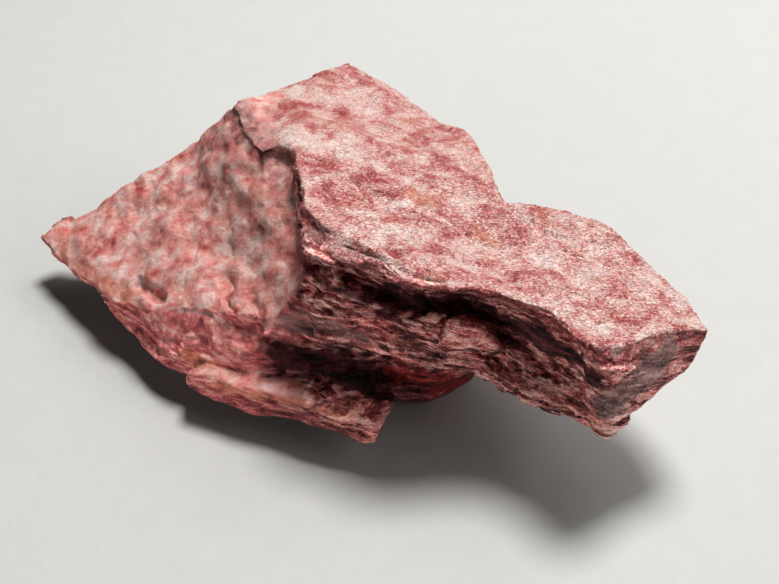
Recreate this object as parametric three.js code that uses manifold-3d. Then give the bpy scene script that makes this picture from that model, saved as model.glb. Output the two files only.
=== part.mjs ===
// A hand specimen of layered red jasper, 76 mm long, lying as it rests on a table.
// The whole stone is one solid. Millimetres, +Z up, +X along the stone towards its
// overhanging end, +Y towards its back, and the origin on the flat face it rests on.
import * as THREE from 'three';
import { ConvexGeometry } from 'three/addons/geometries/ConvexGeometry.js';
import { ImprovedNoise } from 'three/addons/math/ImprovedNoise.js';
import { SimplifyModifier } from 'three/addons/modifiers/SimplifyModifier.js';
import { TessellateModifier } from 'three/addons/modifiers/TessellateModifier.js';
import { mergeVertices } from 'three/addons/utils/BufferGeometryUtils.js';
import Module from 'manifold-3d';

const wasm = await Module();
wasm.setup();

// Surface colour and finish of the stone.
const JASPER_RED = 0xb06f68;
const STONE_ROUGHNESS = 0.7;

// The bedding: every layer lies parallel to the top of the slab.
// The wing is a fracture that cuts down across the layers to the pointed left end.
const BEDDING = { height: 23.88, alongX: -0.186, alongY: -0.11 };
const WING = { height: 22.62, alongX: 0.5, alongY: 0.3 };

// The thin lip along the front edge: its thickness, and how it reaches back into the slab.
const LIP = { thickness: 1.4, setBack: 0.3, reachX: 1.5, reachY: 6 };

// The floor of the bite out of the slab's left edge.
const BITE_FLOOR = { height: 20.4, alongX: 0.09, alongY: 0.36 };

// Short cracks that open down the wing, each at full depth from this share of its length.
const FULL_DEPTH_FROM = 0.4;
const CRACKS = [
  { from: [-18.9, 1.5], to: [-16.2, -5.4], width: 1.4, depth: 1.5 },
  { from: [-15, -2.3], to: [-13.1, -8], width: 1.5, depth: 1.9 },
  { from: [-29.3, 4.7], to: [-26.3, 1.5], width: 1.1, depth: 0.9 },
];

// How far a block that is cut away stands out over the surface that it cuts.
const CLEAR = 1;

// The relief that breaks the planes up: ledges along the bedding, swells and lumps.
// It is cut on facets of FACET, which are then merged down to TRIANGLES in all.
const LEDGE = { spacing: 2.2, depth: 0.9, wander: 26 };
const SWELLS = { size: 9, depth: 0.9 };
const LUMPS = { size: 3.6, depth: 0.55 };
const FACET = 1.2;
const TRIANGLES = 9600;
const MAX_SPLITS = 80;
const FLAT_BASE = 2.5;
const SPINE = { startY: 8, slope: -0.35, width: 6 };
const NOISE_SHIFT = new THREE.Vector3(11, 23, 37);

const noise = new ImprovedNoise();

// A corner on a sloping plane, or a given depth below it.
function onPlane(plane, x, y, depth = 0) {
  return [x, y, plane.height + plane.alongX * x + plane.alongY * y - depth];
}

const onBedding = (x, y, depth) => onPlane(BEDDING, x, y, depth);
const onWing = (x, y, depth) => onPlane(WING, x, y, depth);

// A convex block of stone, given by its corners.
function block(corners) {
  const geometry = new ConvexGeometry(corners.map((corner) => new THREE.Vector3(...corner)));
  return toSolid(geometry);
}

function toSolid(geometry) {
  geometry.deleteAttribute('normal');
  const merged = mergeVertices(geometry);
  const mesh = new wasm.Mesh({
    numProp: 3,
    vertProperties: new Float32Array(merged.attributes.position.array),
    triVerts: new Uint32Array(merged.index.array),
  });
  return new wasm.Manifold(mesh);
}

function toGeometry(solid) {
  const mesh = solid.getMesh();
  const geometry = new THREE.BufferGeometry();
  geometry.setAttribute('position', new THREE.BufferAttribute(mesh.vertProperties, 3));
  geometry.setIndex(new THREE.BufferAttribute(mesh.triVerts, 1));
  return geometry;
}

// The thick upper slab: a plate of bedding with broken sides, over a narrower layer.
// Its top dips away at the back left corner.
function slab() {
  return [
    block([
      onBedding(-9.4, -1.7), onBedding(-9.7, 3.8), [-14.4, 10.3, 24.5], [-16, 13.8, 24.2],
      [-17.8, 17.5, 23.7], [-19.1, 20.6, 23.1], [-18.6, 22.4, 22.9], [-16.4, 23.4, 23],
      onBedding(-12, 24.3, 0.1), onBedding(-8.5, 27.8), onBedding(-5.6, 31), onBedding(-3.1, 30.8),
      onBedding(4.9, 24.4), onBedding(7.9, 21.3), onBedding(9.9, 18), onBedding(11.4, 12.5),
      onBedding(12.8, 5.6), onBedding(9.5, -9), onBedding(3, -9.4), onBedding(-1, -7.2),
      [-8, -1, 14], [3, -6.6, 15], [9, -6.6, 15], [12.4, 4, 14.5], [10.8, 12.5, 14], [8, 19.5, 14.5],
      [1.5, 26, 15], [-3.5, 29.4, 15.5], [-7.5, 27.6, 15], [-14, 24.4, 14.5], [-19.2, 21, 17.5],
      [-17, 16, 17],
    ]),
    block([
      [-9, 2, 17], [2, -8, 17], [9, -8, 16.5], [12.2, 0, 16], [9.5, 9.5, 16], [7.6, 15, 16],
      [5.6, 16, 16], [3.4, 22.4, 16], [-1.6, 23.8, 16], [-9.6, 26, 16.5], [-12, 20, 16],
      [-2, -4.5, 8], [8, -7.5, 8], [12.5, 0, 8], [11, 8.4, 7.5], [6, 16.5, 7.5], [3.6, 20, 8],
      [-5, 24, 8.5], [-11, 23, 9], [-10, 8, 8],
    ]),
  ];
}

// The bite out of the slab's left edge.
function bite() {
  const rim = [
    [-9.5, -2.4], [-9.4, 3], [-10.9, 8.4], [-11.9, 10.4], [-13.2, 10.9], [-14.6, 9.6], [-19, 7],
    [-14, -2.4],
  ];
  return block([
    ...rim.map(([x, y]) => onBedding(x, y, -CLEAR)),
    ...rim.map(([x, y]) => onPlane(BITE_FLOOR, x, y)),
  ]);
}

// The hollow ramp where the wing climbs to the slab's left edge.
function ramp() {
  return block([
    [-9.2, -3.4, 17.8], [-9.2, 3.4, 20.6], [-10.8, 10, 23], [-12.4, 12.6, 23.3], [-14.6, 9.8, 22.5],
    [-16.2, 13.8, 23.3], [-17.9, 17.6, 23], [-19.4, 20.8, 22.5], [-19.8, 22.8, 21.4], [-16, 24, 18],
    onWing(-24, 20.9), onWing(-22, 12), onWing(-17, 3), onWing(-13, -3),
    [-20, 20, 12], [-20, 8, 10], [-10, -2, 12], [-9, 20, 12],
  ]);
}

// The bevelled brow at the slab's front left corner, over the deep undercut.
function brow() {
  return block([
    onBedding(-9.4, -1.6), onBedding(-6.8, -4.6), onBedding(-4.4, -6.4), onBedding(-3, -7.9),
    onBedding(-0.6, -10.8), onBedding(1.2, -12.1), onBedding(3, -12.8), onBedding(3, -4),
    onBedding(-8.6, 3),
    [-9.4, -5, 22], [-7.2, -7.3, 22.9], [-4.4, -8.6, 23.2], [-2.6, -10, 23.2], [0, -12.2, 23.7],
    [2.2, -13, 24], [-9, 2, 19.5], [1, -4, 21],
  ]);
}

// The thin lip that follows the slab's and the arm's front edge.
function lip() {
  const edges = [
    [[-1, -10.1], [1, -11.9], [3, -12.8], [6.5, -12.8], [8.5, -12.3]],
    [[7.5, -12.4], [11.1, -12.2], [15.5, -13.7]],
    [[14.8, -13.4], [17.7, -16.4], [20.3, -19]],
  ];
  return edges.map((edge) => block([
    ...edge.map(([x, y]) => onBedding(x, y)),
    ...edge.map(([x, y]) => onBedding(x, y + LIP.setBack, LIP.thickness)),
    ...edge.map(([x, y]) => onBedding(x + LIP.reachX, y + LIP.reachY)),
  ]));
}

// The arm that runs out to the right, thick at its front and thin at its back edge.
function arm() {
  return block([
    onBedding(9, -9.4), onBedding(15, -11.2), onBedding(19, -14.6), onBedding(28.1, -2.6),
    onBedding(24.8, 2), onBedding(22.6, 4.8), onBedding(20.3, 6.1), onBedding(16.8, 5.6),
    onBedding(13.2, 5), onBedding(9.5, 3),
    [9, -7, 13.6], [14, -8.4, 14], [19.3, -17.2, 20.9], [19.8, -17.6, 13.4], [26, -5, 14],
    [21.5, 3.5, 12.5],
    [9, -4, 10.6], [13.5, 4, 9],
  ]);
}

// The arm's end, with its slanting triangular end face.
function armEnd() {
  return block([
    onBedding(20.3, -19), onBedding(19, -17.7), onBedding(19.4, -12), onBedding(28.1, -2.8),
    onBedding(30.2, -5.4), onBedding(31.9, -8.6), onBedding(32, -13.6),
    [22.4, -20.5, 10.5], [20.5, -19.4, 10.6], [19.4, -15.4, 11], [23.7, -19.7, 11.1],
    [26.9, -17.3, 14.4], [29.1, -16.2, 14.8], [31, -15.1, 15.9], [31.4, -14.5, 17],
    [31.9, -13.9, 18.4], [30.5, -8.5, 17.3], [26.5, -4, 15],
  ]);
}

// The arm's striated lower front, and the lump above it.
function armFront() {
  return [
    block([
      [4.3, -12, 11.3], [8.5, -12.8, 10.9], [10.5, -13.2, 10.7], [4.3, -11.6, 13.8],
      [8.5, -12.3, 13.3], [10.5, -12.6, 12.9], [5, -9.4, 16.4], [10.5, -9.6, 15.8],
      [4, -5, 11], [11, -6, 10.5],
    ]),
    block([
      [8.5, -12.4, 10.6], [13.2, -14.3, 10.5], [20.5, -19.6, 10.5], [21.5, -18, 10.7],
      [8.5, -11.8, 12.6], [13.2, -13.8, 12.3], [20.3, -18.9, 12.6], [19.6, -16.6, 14.8],
      [14, -10.6, 14.8], [9, -8.8, 14.4], [14, -6.6, 16], [19.6, -12, 16.2],
      [9, -4, 10.6], [20, -10, 11],
    ]),
    block([
      [5.2, -12.8, 16.8], [7, -13, 18.9], [9.6, -13.3, 18.3], [12, -13.9, 16],
      [9.4, -13.6, 14.6], [5.4, -12.9, 14.6], [5.5, -8, 16], [10, -8.5, 16.4], [5, -6, 12], [11, -8, 12],
    ]),
  ];
}

// The middle shelf under the brow, which ends in the overhanging middle edge.
function shelf() {
  return [
    block([
      [-9.3, -4, 18.9], [-9.3, -6.4, 16.9], [-5, -6.4, 19.3], [-5.2, -7.8, 17.2],
      [-2.4, -7.6, 18.6], [2.4, -8.6, 16.8], [-1.5, -9.3, 16.8], [-12.2, -7.3, 14.8], [-13.6, -7.1, 11.7],
      [-9.7, -8.6, 12.2], [-4.2, -8.9, 12.2], [-2.7, -9.7, 12.1],
      [-9, 0, 19], [-1, -3, 18.4], [-12, 0, 11.5], [0, -3, 11.5],
    ]),
    block([
      [-1.5, -9.3, 16.8], [5, -10.2, 17.6], [8.4, -11, 15.6], [7.6, -12.6, 12],
      [4.3, -12.2, 11.6], [0.6, -11, 11.9], [-2.7, -9.7, 12.1],
      [5, -4, 17.5], [-2, -4, 17], [-2, -4, 11.5], [5, -4, 11.5],
    ]),
  ];
}

// The tongue of the wing that ends over the middle shelf.
function tongue() {
  return block([
    onWing(-12.3, -6.8), onWing(-14.1, -5.4), onWing(-15.4, 0), onWing(-10.2, -6, 0.5),
    [-9.5, -4.4, 16.6], [-9.4, -1, 18.4],
    [-13.6, -6.3, 11.6], [-10.6, -6.8, 12.4], [-14, 0, 12], [-9.4, 0, 12],
  ]);
}

// A crack in the wing: a wedge that deepens from its upper end to its lower one.
function crack({ from, to, width, depth }) {
  const start = new THREE.Vector2(...from);
  const end = new THREE.Vector2(...to);
  const along = end.clone().sub(start).setLength(width / 2);
  const side = new THREE.Vector2(-along.y, along.x);
  const deep = start.clone().lerp(end, FULL_DEPTH_FROM);
  const mouth = [start, end].flatMap((tip) => [tip.clone().add(side), tip.clone().sub(side)]);
  return block([
    ...mouth.map(({ x, y }) => onWing(x, y, -CLEAR)),
    onWing(start.x, start.y),
    onWing(deep.x, deep.y, depth),
    onWing(end.x, end.y, depth),
  ]);
}

// The steep layered band below the wing, down to the foot.
function band() {
  return [
    block([
      [-34.9, 8.1, 5.6], [-32.6, 3.4, 7.2], [-28.7, 1.7, 8.8], [-25.5, -0.3, 9.9], [-21.1, -2.5, 11.3],
      [-34.9, 8.3, 5], [-33.1, 5.1, 4.5], [-31.2, 2.2, 4.2], [-28.9, -1.2, 4], [-27.6, -2.3, 4],
      [-25.1, -3.9, 4], [-23, -5.2, 4], [-21, -6.3, 6.8], [-20, -5.8, 5],
      [-28, 12, 8], [-18, 8, 11], [-26, 8, 0.8], [-20, 0, 0.8],
    ]),
    block([
      [-23, -5.2, 4.5], [-21.1, -2.5, 11.3], [-18.2, -3.9, 11.5], [-15.3, -5.3, 11.7],
      [-13.7, -6.1, 11.4], [-9.8, -4.6, 11.6], [-4, -4.2, 11.6], [0.4, -4.4, 11.4],
      [-21, -6.3, 6.8], [-15, -8.7, 6.9], [-9.8, -8.9, 6.9], [-4.3, -8.6, 6.8], [-0.6, -8.2, 6.8],
      [-18, 0, 13.2], [-14, -2, 14], [0, 0, 11], [-18, 2, 1], [0, -3, 1],
    ]),
  ];
}

// The foot: a separate layer that sticks out at the front, clear of the table.
function foot() {
  return block([
    [-22.4, -7.7, 6.7], [-20.9, -8.4, 6.8], [-15.2, -10.6, 6.8], [-9.7, -12.2, 6.8], [-4.2, -13.9, 6.8],
    [-1.2, -15.2, 6.8], [0.1, -12.5, 6.8], [0.6, -9.9, 6.8],
    [-23, -5.2, 4.2], [-22.5, -6.8, 4], [-21.2, -8.6, 4], [-15.4, -10.8, 4], [-10.9, -12.2, 4],
    [-6.5, -13.7, 4], [-3.2, -14.8, 4], [-1.6, -14.6, 4], [-0.7, -12.1, 4], [0.1, -9.9, 4],
    [0.6, -7.3, 3.6], [-21, -4, 6.9], [0, -5, 6.9], [-19, -2, 0.6], [-1, -4, 0.6],
  ]);
}

// The red translucent chunk that reaches the table behind the foot's right end.
function chunk() {
  return block([
    [0.6, -4, 0], [4.5, -5, 0], [6.5, -4.5, 0], [9.3, -2, 0], [2, 2, 0], [8.8, 3, 0],
    [0, -7, 9], [2, -8.4, 10.6], [8, -8.6, 10.8], [12.5, -5.5, 10.8], [2, 0, 10], [12.5, 2, 10],
  ]);
}

// The lower body that the stone rests on, with broken layers stepping in at the back.
function lowerBody() {
  return [
    block([
      [-26, 5, 0], [-21, -3, 0], [-12, -6, 0], [-2, -5.6, 0], [4.5, -4.8, 0], [8.4, -2, 0],
      [8.6, 6, 0], [5, 9, 0], [-6, 15.5, 0], [-19, 14.4, 0], [-25, 10.5, 0],
      [-24, 0, 8], [-10, -4, 10], [6, -6, 10.5], [10, 0, 9], [9, 8, 8], [5.4, 12, 8],
      [-6, 19, 8], [-20, 17, 8], [-28, 13, 7],
    ]),
    block([
      [-27, 13, 8], [-21.5, 21.2, 12], [-9.5, 22.5, 13], [-20, 8, 11], [-8, 10, 12],
      [-23, 12, 4.5], [-19.6, 19, 5.5], [-10.4, 20.6, 5.5], [-8, 10, 4], [-22, 6, 4],
    ]),
    block([
      [-2, 20.5, 11], [4.4, 17.6, 10], [9.4, 9.4, 10.5], [0, 5, 11], [0, 5, 3],
      [-3, 17.6, 3.4], [4, 14.8, 3], [8.6, 8, 2.6],
    ]),
  ];
}

// The unbroken inside that every layer grows out of.
function heart() {
  return block([
    [-18, 0, 5], [-8, -3, 5], [8, -4, 5], [10.6, -7.5, 11], [9.6, -8, 13.6], [12, 4, 8],
    [2, 14, 5], [-16, 14, 5], [-15, -2, 12.5], [-7, -3, 17.5], [6, -7, 17.5], [13, -6, 16],
    [14, 3, 15], [4, 20, 17], [-10, 19, 18], [-10, 1, 18.5], [-19, 10, 12],
  ]);
}

// The wing: the broad sloping fracture that ends in the pointed left end.
function wing() {
  return block([
    onWing(-43.4, 16.9, 0.1), onWing(-41.2, 18.1), onWing(-37.9, 18.7), onWing(-33.3, 19.2),
    onWing(-29.4, 20), onWing(-23.7, 21), onWing(-21.2, 22.1), onWing(-17, 23), onWing(-9, 18),
    onWing(-9, -3.4), onWing(-12.3, -6.6), [-15.3, -5.2, 12], [-18.2, -3.9, 11.7], [-21.1, -2.4, 11.4],
    [-25.5, -0.3, 9.9], [-28.7, 1.8, 8.8], [-32.6, 3.4, 7.2], [-35.4, 9, 6.4], [-40.4, 13.8, 5.9],
    [-43.2, 16.7, 5.1], [-41, 14.7, 5], [-38.1, 12.4, 5], [-34.9, 8.4, 5], [-39, 18, 6.6],
    [-29.4, 20.5, 10], [-21.2, 22.8, 12.5], [-12, 22, 12],
    [-29, 14, 2.5], [-27, 7, 1.5], [-20, 14, 2], [-12, 0, 10],
  ]);
}

// Relief of the broken surface, as one smooth shift of every point of the stone.
function relief(point) {
  const { x, y, z } = point;
  const underTop = BEDDING.height + BEDDING.alongX * x + BEDDING.alongY * y - z;
  const layer = underTop / LEDGE.spacing;
  const across = y - SPINE.startY - SPINE.slope * x;
  const outward = Math.tanh(across / SPINE.width);
  const ledge = LEDGE.depth * noise.noise(x / LEDGE.wander, layer, y / LEDGE.wander) * outward
    * THREE.MathUtils.smoothstep(layer, 0, 1);
  const rise = THREE.MathUtils.smoothstep(z, 0, FLAT_BASE);
  const shift = new THREE.Vector3(0, ledge, 0);
  for (const { size, depth } of [SWELLS, LUMPS]) {
    shift.x += depth * noise.noise(x / size + NOISE_SHIFT.x, y / size, z / size);
    shift.y += depth * noise.noise(x / size, y / size + NOISE_SHIFT.y, z / size);
    shift.z += depth * noise.noise(x / size, y / size, z / size + NOISE_SHIFT.z) * rise;
  }
  return shift;
}

function roughen(geometry) {
  const finer = mergeVertices(new TessellateModifier(FACET, MAX_SPLITS).modify(geometry));
  const positions = finer.attributes.position;
  const point = new THREE.Vector3();
  for (let i = 0; i < positions.count; i += 1) {
    point.fromBufferAttribute(positions, i);
    point.add(relief(point));
    positions.setXYZ(i, point.x, point.y, point.z);
  }
  const spare = 1 - TRIANGLES / (finer.index.count / 3);
  return new SimplifyModifier().modify(finer, spare * positions.count);
}

async function stone() {
  const pieces = [
    ...slab(), ramp(), tongue(), brow(), ...lip(), arm(), armEnd(), ...armFront(), ...shelf(),
    ...band(), foot(), chunk(), ...lowerBody(), heart(), wing(),
  ];
  const hollows = [bite(), ...CRACKS.map(crack)];
  const whole = pieces.reduce((joined, piece) => joined.add(piece));
  const solid = hollows.reduce((left, hollow) => left.subtract(hollow), whole);
  const geometry = await roughen(toGeometry(solid));
  geometry.computeVertexNormals();
  return geometry;
}

const material = new THREE.MeshStandardMaterial({
  color: JASPER_RED,
  roughness: STONE_ROUGHNESS,
  metalness: 0,
});
const jasper = new THREE.Mesh(await stone(), material);
jasper.name = 'jasper_stone';

const specimen = new THREE.Group();
specimen.add(jasper);

export default specimen;
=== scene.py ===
"""A hand specimen of layered red jasper, as it lies on a plain pale table.

The stone is one piece. It takes the shape of the CAD solid, on a finer mesh that is then broken
up into flakes, ledges, lumps, chips and cracks. Its colours come from noise that follows the
layers, and from listed marks. The stone's own shape is worked out in millimetres.
"""
import itertools
import math

import bmesh
import bpy
import numpy as np
from mathutils import Matrix, Vector
from mathutils.bvhtree import BVHTree


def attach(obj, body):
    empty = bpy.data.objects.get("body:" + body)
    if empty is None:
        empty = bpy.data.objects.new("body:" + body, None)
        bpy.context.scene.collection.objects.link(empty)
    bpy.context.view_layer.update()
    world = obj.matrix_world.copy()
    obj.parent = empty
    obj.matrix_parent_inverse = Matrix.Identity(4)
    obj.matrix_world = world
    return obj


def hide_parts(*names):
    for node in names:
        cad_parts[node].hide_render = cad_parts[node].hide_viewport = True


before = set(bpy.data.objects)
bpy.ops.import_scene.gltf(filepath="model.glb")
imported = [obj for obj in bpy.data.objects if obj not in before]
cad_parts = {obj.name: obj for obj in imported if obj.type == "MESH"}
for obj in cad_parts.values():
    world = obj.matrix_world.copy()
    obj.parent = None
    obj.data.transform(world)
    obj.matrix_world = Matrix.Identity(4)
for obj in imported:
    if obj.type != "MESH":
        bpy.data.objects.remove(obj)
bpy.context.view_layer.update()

MM = 0.001

# The view: the photograph's own frame, and a camera that looks down on the stone. Its distance
# and the point that it looks at are in millimetres.
PHOTO_WIDTH, PHOTO_HEIGHT = 779, 584
VIEW_ANGLE = math.radians(33)
VIEW_DOWN = math.radians(42)
VIEW_DISTANCE = 148
VIEW_TARGET = Vector((0, 0, 12))

# The lamps: each is a direction from the stone, a brightness at the stone and a width in metres.
LAMP_DISTANCE = 0.5
LAMPS = [
    ((0.16, 0.28, 1), 3.7, 0.15),
    ((0.63, 0.46, 1), 0.7, 0.25),
    ((1.55, -0.4, 1), 1.05, 0.35),
    ((-0.7, -0.8, 0.35), 0.5, 0.25),
]

# The room: how bright it is all round, and the table's width in metres.
ROOM_BRIGHTNESS = 0.008
TABLE_WIDTH = 6

# The bedding: its height over the origin and its fall, level in the lower body.
BEDDING_TOP = 23.88
BEDDING_FALL = np.array([0.186, 0.11])
LEVEL_BELOW, TILTED_ABOVE = 7, 14

# Where the wing begins, to the left of the origin, and where the foot ends, above the table:
# each passes into the body between these two places.
WING_FROM = (8.9, 9.7)
FOOT_UP_TO = (4, 7)

# The mesh: it is made on this spacing, smoothed, shaped, and then thinned out where it is plain.
WELD_DISTANCE = 0.001
VOXEL = 0.22
SMOOTHING = 6
MOST_TRIANGLES = 196000

# Marks on the stone, by kind: each is a width in millimetres, a strength, and a path along the
# surface, given by the photograph's pixels. Pale and deep marks lighten and darken the tone.
# Bright ones are painted highlights on lips and ledges, dark ones are painted shade in recesses,
# creases and under overhangs, grey and rust have colours of their own, and ruby is the red of
# a chunk with a painted glow of light through it.
MARKS = {
    "pale": [
        (1.5, 0.9, (588, 324), (600, 334)), (2.0, 0.5, (545, 262), (596, 268)),
        (2.2, 0.7, (288, 132), (322, 146)), (0.8, 0.9, (341, 155), (348, 157)),
        (0.9, 0.7, (362, 162), (385, 168), (407, 182)), (1.4, 0.9, (370, 243), (390, 228)),
        (1.5, 0.4, (500, 286), (540, 302), (575, 320)),
        (1.4, 0.5, (560, 215), (600, 230)), (1.4, 0.6, (640, 270), (684, 300)),
        (1.0, 0.6, (392, 207), (406, 197)), (1.5, 0.9, (124, 272), (138, 276)),
        (2.6, 0.4, (232, 232), (252, 250)), (1.4, 0.6, (304, 232), (311, 252)),
        (1.1, 0.7, (152, 318), (162, 328)), (0.5, 0.8, (273, 408), (277, 408)),
        (1.6, 0.8, (612, 398), (616, 426)), (1.0, 0.4, (632, 402), (662, 378), (690, 354)),
        (0.6, 0.6, (205, 374), (250, 384), (300, 396), (350, 410)),
        (0.7, 0.4, (150, 322), (190, 334), (230, 345)), (0.5, 0.4, (172, 346), (214, 358)),
        (2.0, 0.4, (454, 332), (488, 336)),
    ],
    # Painted highlights on lips, ledges, the lump and the foot's rim.
    "painted_highlight": [
        (0.7, 1.0, (266, 334), (300, 341), (342, 337), (372, 349), (420, 366), (458, 374)),
        (1.2, 0.5, (330, 396), (366, 408)),
        (0.6, 0.7, (386, 402), (380, 418), (372, 434)),
        (0.8, 0.8, (309, 266), (310, 296)), (0.7, 0.7, (322, 290), (352, 302)),
        (0.9, 0.8, (312, 273), (340, 285)), (0.7, 0.8, (334, 266), (366, 281)),
        (0.7, 0.6, (372, 306), (378, 310)), (1.2, 0.8, (362, 322), (392, 334)),
        (0.8, 0.6, (380, 334), (400, 345)), (2.2, 1.0, (450, 332), (486, 336)),
        (0.5, 0.7, (470, 356), (510, 368)), (0.4, 0.7, (500, 372), (560, 400), (600, 422)),
        (0.6, 0.6, (330, 318), (350, 326)), (0.4, 0.6, (520, 356), (566, 384)),
    ],
    "rust": [
        (1.7, 0.8, (412, 196), (430, 203)), (1.3, 0.7, (478, 234), (494, 243)),
        (2.0, 0.4, (312, 118), (345, 128)), (1.4, 0.4, (384, 118), (418, 121)),
        (0.5, 0.6, (300, 205), (320, 218), (336, 233)), (0.5, 0.4, (352, 241), (380, 263), (402, 279)),
        (1.5, 0.6, (66, 252), (84, 268), (100, 288)), (1.6, 0.7, (104, 286), (130, 298)),
        (0.5, 0.8, (263, 156), (261, 184), (262, 208)), (1.2, 0.8, (184, 356), (216, 366)),
        (0.9, 0.8, (215, 384), (260, 396), (300, 404), (350, 416)),
        (1.2, 0.4, (540, 212), (566, 232)), (1.6, 0.4, (284, 200), (280, 240), (270, 290)),
        (1.0, 0.5, (480, 250), (500, 275)),
    ],
    "deep": [
        (1.4, 0.7, (440, 128), (462, 134)), (1.3, 0.6, (316, 163), (340, 168)),
        (1.0, 0.6, (354, 174), (382, 180)), (1.0, 0.6, (436, 163), (462, 170)),
        (0.9, 0.6, (382, 192), (398, 197)), (0.7, 0.9, (382, 245), (397, 255)),
        (0.4, 1.0, (464, 233), (467, 234)), (0.8, 0.7, (420, 268), (424, 278)),
        (1.0, 0.7, (484, 276), (496, 282)), (1.1, 0.8, (60, 230), (66, 234)),
        (0.9, 0.8, (140, 191), (145, 193)), (0.9, 0.7, (83, 268), (88, 271)),
        (1.0, 0.6, (204, 175), (215, 184)), (0.9, 0.7, (154, 272), (167, 281)),
        (0.5, 0.8, (120, 308), (156, 314)), (1.1, 0.7, (140, 330), (154, 336)),
        (0.9, 0.6, (166, 340), (175, 346)), (1.2, 0.5, (215, 396), (260, 408), (300, 417), (360, 431)),
        (0.9, 0.9, (280, 313), (290, 318)), (0.8, 0.9, (306, 290), (322, 296)),
        (0.5, 0.9, (440, 289), (480, 291), (520, 305), (560, 325), (590, 346)),
        (1.0, 0.8, (602, 346), (607, 374)), (1.0, 0.8, (682, 332), (700, 336)),
        (0.9, 0.7, (225, 278), (228, 284)),
    ],
    "grey": [
        (2.4, 0.3, (292, 186), (290, 230), (282, 262), (276, 292)),
        (1.4, 0.6, (322, 229), (350, 245)), (2.2, 0.5, (238, 104), (252, 122), (268, 142)),
        (1.2, 0.4, (356, 257), (380, 273)), (1.4, 0.6, (212, 130), (228, 136)),
        (1.0, 0.6, (184, 178), (198, 184)), (1.0, 0.6, (138, 244), (145, 258)),
        (1.0, 0.6, (118, 204), (125, 216)), (0.5, 0.8, (168, 308), (212, 315)),
        (1.8, 0.6, (284, 322), (330, 325), (358, 336)), (1.3, 0.3, (470, 360), (520, 379), (588, 410)),
        (3.0, 0.8, (612, 404), (640, 378), (668, 354)), (1.3, 0.4, (500, 217), (596, 221)),
    ],
    # Painted shade in recesses, creases and under overhangs.
    "painted_shade": [
        (3.2, 1.0, (284, 356), (330, 364), (384, 386)), (1.6, 1.0, (350, 384), (382, 394)),
        (0.8, 0.7, (309, 264), (345, 277), (390, 300)),
        (2.6, 1.0, (388, 300), (422, 308), (456, 312)), (2.0, 0.9, (452, 304), (500, 314), (550, 338)),
        (2.2, 0.55, (230, 112), (244, 132), (260, 150)), (0.7, 0.7, (300, 216), (302, 250), (300, 296)),
        (1.3, 0.6, (266, 154), (284, 156), (295, 172), (299, 204)),
        (2.4, 0.42, (272, 162), (284, 185), (290, 215)),
        (1.2, 0.6, (402, 340), (440, 356)), (1.2, 0.7, (306, 272), (350, 292), (392, 308)),
        (2.0, 0.8, (508, 324), (548, 347), (592, 378)), (1.0, 0.6, (268, 338), (300, 344), (350, 346)),
    ],
    # The chunk under the arm: its red, and a painted glow of light through it.
    "ruby_and_glow": [(3.4, 1.0, (400, 376), (430, 384), (466, 380))],
}

# Small steps down to the front, along such paths: depth, how far the lower side reaches, path.
STEPS = [
    (0.5, 2.6, (303, 206), (327, 229), (345, 235), (370, 250), (398, 263), (428, 278)),
    (0.4, 1.6, (345, 241), (372, 253), (390, 263), (402, 280)),
    (0.25, 1.5, (476, 240), (490, 246), (499, 238)), (0.2, 1.5, (500, 218), (535, 222), (560, 236)),
    (0.2, 1.8, (316, 168), (352, 178), (392, 196)), (0.2, 1.6, (392, 210), (424, 212), (448, 206)),
    (0.2, 2.0, (560, 246), (600, 262), (640, 292)), (0.15, 1.2, (436, 256), (470, 262), (510, 276)),
]

# Grooves cut along such paths: width, depth, path. A negative depth raises the surface.
GROOVES = [
    (1.5, 0.45, (234, 118), (246, 133), (260, 153)), (0.6, 0.5, (382, 245), (397, 255)),
    (0.8, 0.8, (225, 276), (228, 285)),
    (0.4, 0.2, (168, 308), (212, 315)), (0.8, 0.9, (138, 283), (160, 297)),
    (1.1, -0.5, (412, 192), (428, 197)), (0.5, 0.25, (336, 262), (352, 268)),
]


# ---------------------------------------------------------------- random fields

HASH = np.array([[127.1, 269.5, 113.5], [311.7, 183.3, 271.9], [74.7, 246.1, 124.6]])
HASH_SPREAD = 43758.5453
NOISE_GAIN = 1.6
FIRST_MARK_SEED = 50


def scatter(cells, seed):
    """Three steady random numbers from 0 to 1 for each whole-numbered cell."""
    mixed = np.sin(cells @ HASH + seed) * HASH_SPREAD
    return mixed - np.floor(mixed)


def noise(points, size, seed):
    """Smooth noise from about -1 to 1, with lumps of that size."""
    scaled = points / size
    home = np.floor(scaled)
    part = scaled - home
    fade = part ** 3 * (part * (part * 6 - 15) + 10)
    total = np.zeros(len(points))
    for step in itertools.product((0, 1), repeat=3):
        weight = np.where(step, fade, 1 - fade).prod(axis=1)
        slope = scatter(home + step, seed) * 2 - 1
        total += weight * (slope * (part - step)).sum(axis=1)
    return total * NOISE_GAIN


def shards(points, size, seed, tilt):
    """Random cells of that size, each with a level from -1 to 1 and a tilt across it."""
    scaled = points / size
    home = np.floor(scaled)
    nearest = np.full(len(points), np.inf)
    level = np.zeros(len(points))
    for step in itertools.product((-1, 0, 1), repeat=3):
        middle = scatter(home + step, seed)
        offset = scaled - home - step - middle
        distance = (offset ** 2).sum(axis=1)
        closer = distance < nearest
        nearest[closer] = distance[closer]
        slope = scatter(home[closer] + step, seed + 5) * 2 - 1
        level[closer] = slope[:, 0] + tilt * (slope * offset[closer]).sum(axis=1)
    return level


def ease(value, low, high):
    """0 below low, 1 above high and a smooth rise between them."""
    part = np.clip((value - low) / (high - low), 0, 1)
    return part * part * (3 - 2 * part)


# ---------------------------------------------------------------- the stone's mesh

def apply_modifier(stone):
    """Gives the stone the mesh that its modifier makes of the one it has."""
    evaluated = stone.evaluated_get(bpy.context.evaluated_depsgraph_get())
    before = stone.data
    stone.data = bpy.data.meshes.new_from_object(evaluated)
    stone.modifiers.clear()
    bpy.data.meshes.remove(before)
    stone.data.name = "jasper"


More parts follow.
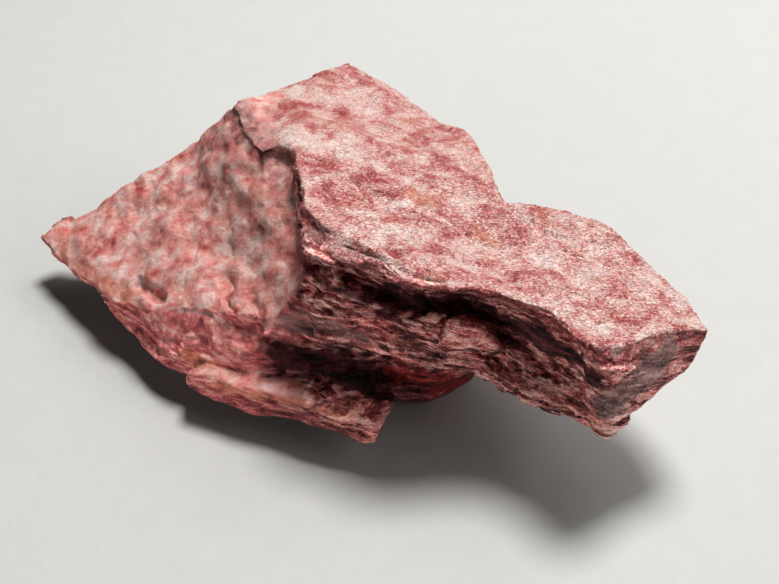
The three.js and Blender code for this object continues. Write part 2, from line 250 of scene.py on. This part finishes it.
def fine_copy(node):
    """A copy of a CAD node in millimetres, on an even mesh of small faces."""
    mesh = node.data.copy()
    mesh.transform(Matrix.Scale(1 / MM, 4))
    welded = bmesh.new()
    welded.from_mesh(mesh)
    bmesh.ops.remove_doubles(welded, verts=welded.verts, dist=WELD_DISTANCE)
    welded.to_mesh(mesh)
    welded.free()
    stone = bpy.data.objects.new("jasper", mesh)
    bpy.context.scene.collection.objects.link(stone)
    remesh = stone.modifiers.new("remesh", "REMESH")
    remesh.mode = "VOXEL"
    remesh.voxel_size = VOXEL
    apply_modifier(stone)
    return stone


def thin_out(stone):
    """Merges the faces that matter least until few enough are left."""
    triangles = sum(len(face.vertices) - 2 for face in stone.data.polygons)
    decimate = stone.modifiers.new("decimate", "DECIMATE")
    decimate.ratio = MOST_TRIANGLES / triangles
    apply_modifier(stone)


def gather(items, name, width, kind=float):
    """One value of each item in a mesh's list, as the rows of an array."""
    values = np.empty(len(items) * width, kind)
    items.foreach_get(name, values)
    return values.reshape(-1, width)


def write(mesh, points):
    """Moves the mesh's vertices to these points."""
    mesh.vertices.foreach_set("co", points.ravel())
    mesh.update()


def store(mesh, name, values):
    """Keeps a number or a vector for each point, which the material reads by its name."""
    kind, field = ("FLOAT", "value") if values.ndim == 1 else ("FLOAT_VECTOR", "vector")
    layer = mesh.attributes.new(name, kind, "POINT")
    layer.data.foreach_set(field, values.ravel())


def smoothed(values, edges, rounds):
    """Values at the vertices, averaged with their neighbours' again and again."""
    ends = np.concatenate([edges[:, 0], edges[:, 1]])
    others = np.concatenate([edges[:, 1], edges[:, 0]])
    count = np.bincount(ends, minlength=len(values))[:, None]
    for _ in range(rounds):
        columns = [np.bincount(ends, column[others], len(values)) for column in values.T]
        values = (values + np.stack(columns, axis=1) / count) / 2
    return values


def along_bedding(points):
    """Each point as its place on the layers and its height among them."""
    tilted = ease(points[:, 2], LEVEL_BELOW, TILTED_ABOVE)
    height = points[:, 2] + tilted * (points[:, :2] @ BEDDING_FALL)
    return np.column_stack([points[:, :2], height])


def path_on_stone(surface, pixels):
    """The points of the stone's surface that show at these pixels of the photograph."""
    focal = PHOTO_WIDTH / 2 / math.tan(VIEW_ANGLE / 2)
    camera = bpy.context.scene.camera
    path = []
    for across, down in pixels:
        ray = Vector((across - PHOTO_WIDTH / 2, PHOTO_HEIGHT / 2 - down, -focal))
        hit = surface.ray_cast(camera.location, camera.rotation_euler.to_matrix() @ ray.normalized())
        path.append(np.array(hit[0]) / MM)
    return path


def distance_to(path, points):
    """How far each point is from a path of straight lines."""
    nearest = np.full(len(points), np.inf)
    for start, end in zip(path, path[1:]):
        along = end - start
        share = np.clip((points - start) @ along / (along @ along), 0, 1)
        gap = np.linalg.norm(points - start - share[:, None] * along, axis=1)
        nearest = np.minimum(nearest, gap)
    return nearest


def marked(surface, points, marks, seed):
    """How strongly each point carries one kind of mark, with ragged edges to each mark."""
    ragged = 0.5 * noise(points, np.array([1.4, 0.8, 0.8]), seed)
    total = np.zeros(len(points))
    for width, strength, *pixels in marks:
        inside = 1 - distance_to(path_on_stone(surface, pixels), points) / width + ragged
        total = np.maximum(total, strength * ease(inside, 0, 0.6))
    return total


def grooved(surface, points):
    """The depth of the grooves at each point."""
    total = np.zeros(len(points))
    for width, depth, *pixels in GROOVES:
        distance = distance_to(path_on_stone(surface, pixels), points)
        total += depth * np.exp(-((distance / width) ** 2))
    return total


def stepped(surface, points, outward):
    """How far the small steps lower each point of the surface in front of them."""
    total = np.zeros(len(points))
    for depth, reach, *pixels in STEPS:
        path = np.array(path_on_stone(surface, pixels))
        edge = np.interp(points[:, 0], path[:, 0], path[:, 1])
        near = 1 - ease(distance_to(path, points), 0.3 * reach, reach)
        total += depth * near * ease(edge - points[:, 1], -0.1, 0.2)
    return total * np.clip(outward[:, 2], 0, 1)


def find_zones(points, height, outward):
    """How far each point belongs to each zone of the stone, from 0 to 1."""
    upright = 1 - np.abs(outward[:, 2])
    left = ease(-points[:, 0], *WING_FROM)
    ramp = left * ease(points[:, 2], 6.5, 9)
    high = ease(height, BEDDING_TOP - 2.2, BEDDING_TOP - 1.2)

    # The foot and the body's sides lie below the bedding face. Of the wing, only what faces
    # forward does, and not what is both high up and further back.
    forward = ease(-outward[:, 1], 0.45, 0.62)
    forward *= 1 - ease(points[:, 2], 13, 14.5) * (1 - ease(-points[:, 1], 4.5, 5.5))
    forward = np.maximum(forward, 1 - left)
    below = np.maximum(1 - ease(points[:, 2], 4.5, 6), (1 - high) * forward)

    broken = np.maximum(ease(upright - 0.3 * ramp, 0.25, 0.6), below)
    on_top = ease(height, BEDDING_TOP - 1.2, BEDDING_TOP - 0.4) * (1 - broken)
    return {
        "upright": upright,
        "high": high,
        "below": below,
        "broken": broken,
        "on_top": on_top,
        "wing": (1 - broken) * (1 - on_top) * left,
        "calm": np.maximum(left * below, 1 - ease(points[:, 2], *FOOT_UP_TO)),
    }


def break_up(mesh, surface):
    """Moves the mesh's points to give flakes, ledges, lumps, grain and chipped edges.

    It returns the new points, and what the material reads at each of them: its place on the
    layers, whether it is broken or on the wing, how crisp its grain is, how much painted fill
    light it gets, how calm its ledges are, and how far it faces down, for painted shade.
    """
    edges = gather(mesh.edges, "vertices", 2, np.int32)
    points = smoothed(gather(mesh.vertices, "co", 3), edges, SMOOTHING)
    write(mesh, points)
    outward = smoothed(gather(mesh.vertex_normals, "vector", 3), edges, 4)
    outward /= np.linalg.norm(outward, axis=1)[:, None]
    layers = along_bedding(points)
    zones = find_zones(points, layers[:, 2], outward)
    rough = 1 - 0.6 * zones["calm"]
    rough *= 1 - 0.8 * ease(points[:, 0] + 0.5 * points[:, 1], 14, 19)
    bulge = ((points - smoothed(points, edges, 12)) * outward).sum(axis=1)
    sharp = ease(bulge, 0.03, 0.25)

    # Each line is a height in millimetres, then a size along each axis, a seed and a shard's tilt.
    waves = 0.7 * noise(points, 7, 3) + 0.25 * noise(points, 2.2, 4)
    wavy = layers + np.outer(waves, (0, 0, 1))
    rise = zones["broken"] * rough * (
        0.30 * shards(wavy, np.array([5, 3, 1.8]), 11, 0.7)
        + 0.22 * shards(wavy, np.array([2.6, 1.7, 0.9]), 12, 0.8)
        + 0.12 * shards(wavy, np.array([1.4, 1, 0.5]), 14, 0.9)
        + 0.06 * noise(wavy, np.array([3.2, 3.2, 0.45]), 13)
    )
    rise += zones["wing"] * (
        0.32 * noise(points, 3.4, 21)
        + 0.22 * noise(points, 1.7, 22)
        + 0.07 * shards(points, 1.1, 23, 1)
    )
    rise += zones["on_top"] * (
        0.10 * shards(layers, np.array([5, 2.4, 3]), 31, 1.2)
        + 0.08 * noise(layers, np.array([3, 1.1, 3]), 32)
        + 0.06 * shards(layers, np.array([1.6, 0.8, 2]), 34, 1)
    )

    # The edges are plainer and chipped, and all of it has a fine grain.
    rise *= 1 - 0.6 * sharp
    rise += 0.03 * noise(points, 0.6, 41)
    rise -= sharp * rough * 0.15 * (0.4 + shards(points, 1.5, 42, 0.5))
    rise -= grooved(surface, points) + stepped(surface, points, outward)
    seated = ease(points[:, 2], 0.02, 1.2)
    points = points + outward * (rise * seated)[:, None]
    points[:, 2] = np.maximum(points[:, 2], 0)

    # The grain is crisp, but softer to the left and the back. The top and the foot keep more of it.
    grainy = np.maximum(zones["on_top"], 1 - ease(points[:, 2], *FOOT_UP_TO))
    crisp = 1 - ease(-points[:, 0], 4, 12) * (1 - 0.6 * grainy)
    crisp *= 1 - 0.45 * ease(points[:, 1], 2, 18)
    return points, {
        "bedding": along_bedding(points),
        "broken": zones["broken"],
        "wing": zones["wing"],
        "crisp": crisp,
        # Painted fill light, on the upright faces below the bedding low on the left.
        "painted_fill_light": ease(-points[:, 0], 10, 17) * zones["below"] * ease(zones["upright"], 0.2, 0.6),
        "calm": np.maximum(zones["calm"], zones["high"]) * zones["broken"],
        "under": ease(-outward[:, 2], 0.1, 0.7),
    }


# ---------------------------------------------------------------- colours

# In the lamps' full light, a surface shows this many times as bright as its own colour.
LAMP_GAIN = 1.8


def srgb(red, green, blue):
    """A colour as it shows in the lamps' full light, as the linear values that shaders take."""
    shares = [value / 255 for value in (red, green, blue)]
    linear = [s / 12.92 if s <= 0.04045 else ((s + 0.055) / 1.055) ** 2.4 for s in shares]
    return tuple(share / LAMP_GAIN for share in linear) + (1,)


# The tones of each zone, from dark to light, with the place of each on the ramp.
FACE_TONES = [
    (0.42, srgb(160, 66, 68)), (0.51, srgb(188, 98, 94)), (0.59, srgb(208, 140, 130)),
    (0.66, srgb(222, 170, 158)), (0.77, srgb(234, 202, 190)), (0.92, srgb(242, 218, 206)),
]
WING_TONES = [
    (0.58, srgb(198, 92, 86)), (0.70, srgb(228, 140, 129)), (0.82, srgb(240, 168, 155)),
    (0.94, srgb(247, 194, 181)), (1, srgb(252, 214, 202)),
]
BROKEN_TONES = [
    (0.42, srgb(112, 48, 58)), (0.56, srgb(162, 74, 80)), (0.70, srgb(204, 108, 106)),
    (0.84, srgb(224, 146, 138)), (0.98, srgb(240, 194, 184)),
]
TABLE_TONES = [(0.3, srgb(227, 226, 222)), (0.7, srgb(230, 229, 225))]

DUSTY_PINK = srgb(228, 164, 148)
VIOLET_GREY = srgb(176, 116, 126)
# Painted shade, laid over the faces that face down.
UNDERSIDE_SHADE = srgb(104, 60, 62)

# These two are multiplied with the colour: the first darkens it as painted shade in recesses,
# creases and under overhangs, and the second cools it.
RECESS_SHADE = (0.16, 0.06, 0.08, 1)
COOLER = (1, 0.96, 1.02, 1)

# The marks that have a colour of their own, and how far it covers the stone's. The ruby mark's
# red is partly the chunk's own and partly a painted glow of light through it.
MARK_COLOURS = {
    "grey": (srgb(180, 150, 146), 0.75),
    "rust": (srgb(214, 134, 98), 0.55),
    "ruby_and_glow": (srgb(184, 44, 50), 0.85),
}


# ---------------------------------------------------------------- materials

class Shader:
    """A node material, with a short call for each kind of node that it uses."""

    def __init__(self, name):
        self.material = bpy.data.materials.new(name)
        self.material.use_nodes = True
        self.tree = self.material.node_tree
        self.surface = self.tree.nodes["Principled BSDF"].inputs

    def put(self, socket, value):
        """Links a value to a socket, or sets it there if it is the same all over."""
        if isinstance(value, bpy.types.NodeSocket):
            self.tree.links.new(value, socket)
        else:
            socket.default_value = value

    def add(self, kind, inputs=(), **settings):
        """A new node with these inputs and settings."""
        node = self.tree.nodes.new(kind)
        for key, value in settings.items():
            setattr(node, key, value)
        for key, value in dict(inputs).items():
            self.put(node.inputs[key], value)
        return node

    def attribute(self, name, output="Fac"):
        """What store() keeps on the mesh under that name."""
        return self.add("ShaderNodeAttribute", attribute_name=name).outputs[output]

    def vector(self, operation, first, second=(0, 0, 0), scale=1):
        """Arithmetic with vectors or colours."""
        inputs = {0: first, 1: second, 3: scale}
        return self.add("ShaderNodeVectorMath", inputs, operation=operation).outputs["Vector"]

    def noise(self, place, size, detail, roughness, distortion=0):
        """Noise around 0.5, with lumps of a size given along each axis."""
        inputs = {
            "Vector": self.vector("DIVIDE", place, size), "Scale": 1, "Detail": detail,
            "Roughness": roughness, "Distortion": distortion,
        }
        return self.add("ShaderNodeTexNoise", inputs).outputs["Fac"]

    def grains(self, place, size):
        """A random colour for each cell of a size given along each axis."""
        inputs = {"Vector": self.vector("DIVIDE", place, size), "Scale": 1}
        return self.add("ShaderNodeTexVoronoi", inputs).outputs["Color"]

    def math(self, operation, first, second, third=0):
        """Arithmetic with numbers."""
        inputs = {0: first, 1: second, 2: third}
        return self.add("ShaderNodeMath", inputs, operation=operation).outputs["Value"]

    def total(self, *terms, base=0):
        """The sum of some values, each given with its weight, and of a base."""
        for value, weight in reversed(terms):
            base = self.math("MULTIPLY_ADD", value, weight, base)
        return base

    def clamped(self, value):
        """A value kept within 0 and 1."""
        return self.add("ShaderNodeClamp", {"Value": value}).outputs["Result"]

    def between(self, value, low, high):
        """0 below low, 1 above high and a smooth rise between them."""
        inputs = {"Value": value, "From Min": low, "From Max": high}
        node = self.add("ShaderNodeMapRange", inputs, interpolation_type="SMOOTHSTEP")
        return node.outputs["Result"]

    def ramp(self, value, tones):
        """The colour at a value's place between tones."""
        node = self.add("ShaderNodeValToRGB", {"Fac": value})
        elements = node.color_ramp.elements
        while len(elements) < len(tones):
            elements.new(1)
        for element, (place, colour) in zip(elements, tones):
            element.position = place
            element.color = colour
        return node.outputs["Color"]

    def mix(self, share, first, second, blend="MIX"):
        """The first colour, with a share of the second laid over it."""
        inputs = {0: share, 6: first, 7: second}
        node = self.add("ShaderNodeMix", inputs, data_type="RGBA", blend_type=blend)
        return node.outputs[2]


def ledge_light(shader, place):
    """Painted light and shade: ledges on the broken faces lighter, the gaps between them darker."""
    streaks = shader.noise(place, (2.2, 1.8, 0.15), 3, 0.7)
    ledges = shader.noise(place, (3.4, 2.6, 0.7), 4, 0.6, 0.5)
    painted_ledge_light = shader.total((shader.between(ledges, 0.36, 0.62), 1.8), (streaks, 3.2), base=-2.1)
    share = shader.total((shader.attribute("calm"), -0.5), base=shader.attribute("broken"))
    painted_ledge_light = shader.math("MULTIPLY", painted_ledge_light, share)
    share = shader.total((shader.attribute("grey"), -0.6), base=1)
    return shader.math("MULTIPLY", painted_ledge_light, share)


def cover(shader, name, blotches):
    """How far the marks of one kind cover the stone, worn away in blotches."""
    return shader.clamped(shader.total((blotches, -0.9), (shader.attribute(name), 1.8)))


def with_marks(shader, colour, blotches):
    """The colour with its marks, and painted shade in recesses and on faces that face down."""
    for name, (mark_colour, most) in MARK_COLOURS.items():
        share = shader.math("MULTIPLY", cover(shader, name, blotches), most)
        colour = shader.mix(share, colour, mark_colour)
    # Painted shade: the dark marks darken the colour in recesses, creases and under overhangs.
    colour = shader.mix(cover(shader, "painted_shade", blotches), colour, RECESS_SHADE, "MULTIPLY")
    # Painted shade on the faces that face down.
    under = shader.math("MULTIPLY", shader.attribute("under"), 0.8)
    return shader.mix(under, colour, UNDERSIDE_SHADE)


def crystal_bump(shader, place, crystals, crisp):
    """Bump for what is finer than the mesh, where each crystal is turned its own way."""
    turned = shader.vector("SUBTRACT", crystals, (0.5, 0.5, 0.5))
    turned = shader.vector("SCALE", turned, scale=shader.math("MULTIPLY", crisp, 0.5))
    facing = shader.add("ShaderNodeNewGeometry").outputs["Normal"]
    facing = shader.vector("NORMALIZE", shader.vector("ADD", facing, turned))
    fine = shader.noise(place, (0.45, 0.4, 0.25), 5, 0.7)
    inputs = {"Height": fine, "Distance": 0.0003, "Strength": 0.6, "Normal": facing}
    return shader.add("ShaderNodeBump", inputs).outputs["Normal"]


def jasper_material():
    """Red and pink jasper. Its noise is sized in millimetres along and across the layers."""
    shader = Shader("jasper")
    place = shader.attribute("bedding", "Vector")
    crisp = shader.attribute("crisp")
    wing = shader.attribute("wing")
    patches = shader.noise(place, (3.2, 3, 3), 3, 0.5, 0.6)
    blotches = shader.noise(place, (1, 1.15, 0.8), 5, 0.7, 0.6)
    mottles = shader.noise(place, (2.1, 1.8, 1.9), 4, 0.5, 0.4)
    hues = shader.noise(place, (3.1, 2.3, 2.7), 2, 0.5)
    stripes = shader.noise(place, (2.6, 2.6, 0.45), 4, 0.7, 0.4)
    dashes = shader.noise(place, (0.24, 0.17, 0.14), 2, 0.7)
    crystals = shader.grains(place, (0.28, 0.16, 0.15))
    speck = shader.add("ShaderNodeSeparateColor", {"Color": crystals}).outputs

    # The tone is shifted by the pale and deep marks, and from each small crystal to the next.
    grain = shader.total((dashes, 1), (speck["Green"], 0.5), base=-0.75)
    grain = shader.math("MULTIPLY", grain, crisp)
    shift = shader.total((shader.attribute("pale"), 0.2), (shader.attribute("deep"), -0.17))
    shift = shader.total((grain, 0.45), base=shift)

    # Light and shade painted into the colour: from crystal to crystal it is partly the grain's own
    # tone and partly painted glints, on the ledges it is painted light and shade, on the broken faces
    # low on the left it is painted fill light, and where marks set it brighter, painted highlights.
    painted_ledge_light = ledge_light(shader, place)
    light = shader.total((dashes, 1.6), (speck["Red"], 0.6), base=-1.1)
    light = shader.math("MAXIMUM", light, -0.3)
    light = shader.math("MULTIPLY", light, shader.total((crisp, 0.7), base=0.3))
    light = shader.math("ADD", light, shader.total((shader.attribute("painted_fill_light"), 0.9), base=1))
    light = shader.total((shader.attribute("painted_highlight"), 1.1), base=light)
    light = shader.math("MAXIMUM", shader.math("ADD", light, painted_ledge_light), 0.15)
    light = shader.total((wing, 0.08), base=light)

    # The bedding face: patches.
    tone = shader.total((patches, 0.8), (blotches, 0.5))
    face = shader.ramp(shader.math("ADD", tone, shift), FACE_TONES)

    # The wing: softer mottles, some of them dusty.
    tone = shader.total((mottles, 1.2), (blotches, 0.5))
    soft = shader.ramp(shader.math("ADD", tone, shift), WING_TONES)
    dusty = shader.math("MULTIPLY", shader.between(hues, 0.56, 0.72), 0.4)
    soft = shader.mix(dusty, soft, DUSTY_PINK)

    # The broken faces: stripes along the layers.
    tone = shader.total((painted_ledge_light, 0.18), (stripes, 1.1), (blotches, 0.3))
    edge_on = shader.ramp(shader.math("ADD", tone, shift), BROKEN_TONES)
    edge_on = shader.mix(shader.math("MULTIPLY", dusty, 0.4), edge_on, VIOLET_GREY)

    colour = shader.mix(wing, face, soft)
    cooler = shader.mix(1, colour, COOLER, "MULTIPLY")
    colour = shader.mix(shader.between(hues, 0.3, 0.7), colour, cooler)
    colour = shader.mix(shader.attribute("broken"), colour, edge_on)
    colour = with_marks(shader, colour, blotches)

    # The colour is scaled by the painted light and shade.
    shader.put(shader.surface["Base Color"], shader.vector("SCALE", colour, scale=light))
    shader.put(shader.surface["Roughness"], shader.between(speck["Blue"], -1.2, 1.6))
    shader.put(shader.surface["Normal"], crystal_bump(shader, place, crystals, crisp))
    return shader.material


def table_material():
    """Plain pale paper."""
    shader = Shader("table")
    place = shader.add("ShaderNodeTexCoord").outputs["Object"]
    tone = shader.noise(place, (0.004, 0.004, 0.004), 4, 0.6)
    fibres = shader.noise(place, (0.0008, 0.0008, 0.0008), 4, 0.7)
    inputs = {"Height": fibres, "Distance": 0.0002, "Strength": 0.35}
    bump = shader.add("ShaderNodeBump", inputs)
    shader.put(shader.surface["Base Color"], shader.ramp(tone, TABLE_TONES))
    shader.put(shader.surface["Roughness"], 0.9)
    shader.put(shader.surface["Normal"], bump.outputs["Normal"])
    return shader.material


# ---------------------------------------------------------------- the scene

def make_stone():
    """The stone, in place of its CAD node."""
    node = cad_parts["jasper_stone"]
    surface = BVHTree.FromObject(node, bpy.context.evaluated_depsgraph_get())
    stone = fine_copy(node)
    points, fields = break_up(stone.data, surface)
    write(stone.data, points * MM)
    for seed, (name, marks) in enumerate(MARKS.items(), FIRST_MARK_SEED):
        fields[name] = marked(surface, points, marks, seed)
    for name, values in fields.items():
        store(stone.data, name, values)
    thin_out(stone)
    stone.data.shade_smooth()
    stone.data.materials.clear()
    stone.data.materials.append(jasper_material())
    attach(stone, "root")
    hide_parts("jasper_stone")


def make_table():
    """The table, wide enough to fill every view."""
    half = TABLE_WIDTH / 2
    corners = [(-half, -half, 0), (half, -half, 0), (half, half, 0), (-half, half, 0)]
    mesh = bpy.data.meshes.new("table")
    mesh.from_pydata(corners, [], [(0, 1, 2, 3)])
    mesh.materials.append(table_material())
    table = bpy.data.objects.new("table", mesh)
    bpy.context.scene.collection.objects.link(table)


def make_camera():
    """The camera, where the photograph was taken from."""
    data = bpy.data.cameras.new("camera")
    data.sensor_fit = "HORIZONTAL"
    data.angle = VIEW_ANGLE
    camera = bpy.data.objects.new("camera", data)
    bpy.context.scene.collection.objects.link(camera)
    back = Vector((0, -math.cos(VIEW_DOWN), math.sin(VIEW_DOWN)))
    camera.location = (VIEW_TARGET + back * VIEW_DISTANCE) * MM
    camera.rotation_euler = (-back).to_track_quat("-Z", "Y").to_euler()
    bpy.context.scene.camera = camera


def make_lights():
    """The soft lamps round the stone, and a faint light from all round."""
    for index, (toward, brightness, width) in enumerate(LAMPS):
        direction = Vector(toward).normalized()
        data = bpy.data.lights.new(f"lamp_{index}", "AREA")
        data.shape = "DISK"
        data.size = width
        data.energy = brightness * math.pi * LAMP_DISTANCE ** 2
        lamp = bpy.data.objects.new(data.name, data)
        lamp.location = direction * LAMP_DISTANCE
        lamp.rotation_euler = direction.to_track_quat("Z", "Y").to_euler()
        bpy.context.scene.collection.objects.link(lamp)
    world = bpy.data.worlds.new("room")
    world.use_nodes = True
    background = world.node_tree.nodes["Background"].inputs
    background["Color"].default_value = (1, 1, 1, 1)
    background["Strength"].default_value = ROOM_BRIGHTNESS
    bpy.context.scene.world = world


make_camera()
make_lights()
make_table()
make_stone()
view_settings = bpy.context.scene.view_settings
view_settings.view_transform = "Standard"
view_settings.look = "Medium High Contrast"
